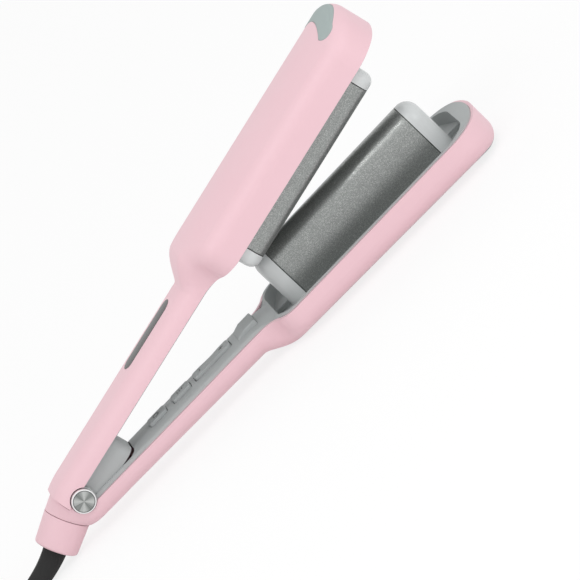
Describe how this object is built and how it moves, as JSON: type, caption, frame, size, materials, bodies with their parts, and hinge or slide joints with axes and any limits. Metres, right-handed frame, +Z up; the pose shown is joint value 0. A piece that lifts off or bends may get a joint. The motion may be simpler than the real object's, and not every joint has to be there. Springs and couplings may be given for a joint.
{
  "type": "hair crimper",
  "caption": "Hand-held three-barrel hair crimper, open on its lower arm: hinged pink arms, ceramic barrels, hinge caps, tilted collar and coiled mains cord",
  "frame": {"origin": "middle of the footprint of the iron without its cord, on the table that it lies on", "axes": "+X along the lower arm towards the tip, +Z up, the hinge pin parallel to Y"},
  "size_m": [0.4632, 0.0877, 0.1113],
  "materials": {
    "shell": "satin pink",
    "liner": "satin grey",
    "pad": "soft matt grey",
    "lower_sleeve": "glossy ceramic coating",
    "upper_sleeve": "glittering ceramic coating",
    "cap": "light grey, heat-proof",
    "control": "satin grey",
    "window": "black, clear-coated",
    "circuit_board": "green",
    "steel": "brushed",
    "heater": "as rolled",
    "fuse": "glazed white",
    "lead": "red silicone",
    "cord": "black, matt",
    "boot": "black, soft",
    "strap": "black strap",
    "plug": "black",
    "blade": "bright"
  },
  "bodies": {
    "lower_arm": {"lower_shell": "shell", "lower_liner": "liner", "lower_tip_pad": "pad", "centre_barrel": "lower_sleeve", "centre_rear_cap": "cap", "centre_tip_cap": "cap", "centre_heater": "heater", "centre_thermal_fuse": "fuse", "stop_block": "control", "control_board": "circuit_board", "tact_switches": "control", "hinge_pin": "steel", "hinge_cap_near": "steel", "hinge_cap_far": "steel", "supply_leads": "lead", "heater_leads": "lead", "lower_screws": "steel"},
    "upper_arm": {"upper_shell": "shell", "upper_liner": "liner", "upper_tip_pad": "pad", "display_window": "window", "display_board": "circuit_board", "hinge_spring": "steel", "upper_leads": "lead", "upper_screws": "steel", "near_barrel": "upper_sleeve", "near_rear_cap": "cap", "near_tip_cap": "cap", "near_heater": "heater", "near_thermal_fuse": "fuse", "far_barrel": "upper_sleeve", "far_rear_cap": "cap", "far_tip_cap": "cap", "far_heater": "heater", "far_thermal_fuse": "fuse"},
    "power_button": {"power_button": "control"},
    "mode_button": {"mode_button": "control"},
    "temperature_rocker": {"temperature_rocker": "control"},
    "lock_ring": {"lock_ring": "shell"},
    "cord_set": {"cord_swivel": "boot", "strain_relief": "boot", "cord": "cord", "cord_coil": "cord", "cord_tail": "cord", "cord_tie": "strap", "plug_body": "plug", "plug_blades": "blade"}
  },
  "joints": [
    {"name": "arm_hinge", "type": "hinge", "parent": "lower_arm", "child": "upper_arm", "pos_m": [-0.12435, 0, 0.0224], "axis": [0, -1, 0], "range_deg": [-12.5, 0], "stiffness_Nm_per_rad": 0.3, "springref_deg": 63.03},
    {"name": "power_press", "type": "slide", "parent": "lower_arm", "child": "power_button", "axis": [0.0148, 0, -0.9999], "range_m": [0, 0.0006], "stiffness_N_per_m": 400, "springref_m": -0.0006},
    {"name": "mode_press", "type": "slide", "parent": "lower_arm", "child": "mode_button", "axis": [0.0148, 0, -0.9999], "range_m": [0, 0.0006], "stiffness_N_per_m": 400, "springref_m": -0.0006},
    {"name": "temperature_rock", "type": "hinge", "parent": "lower_arm", "child": "temperature_rocker", "pos_m": [-0.02852, 0, 0.01802], "axis": [0, 1, 0], "range_deg": [-1.6, 1.6], "stiffness_Nm_per_rad": 0.2},
    {"name": "lock_turn", "type": "hinge", "parent": "lower_arm", "child": "lock_ring", "pos_m": [-0.13718, 0, 0.01796], "axis": [-0.9007, 0, -0.4344], "range_deg": [0, 45]},
    {"name": "cord_turn", "type": "hinge", "parent": "lower_arm", "child": "cord_set", "pos_m": [-0.13718, 0, 0.01796], "axis": [-0.9007, 0, -0.4344], "continuous": true}
  ]
}
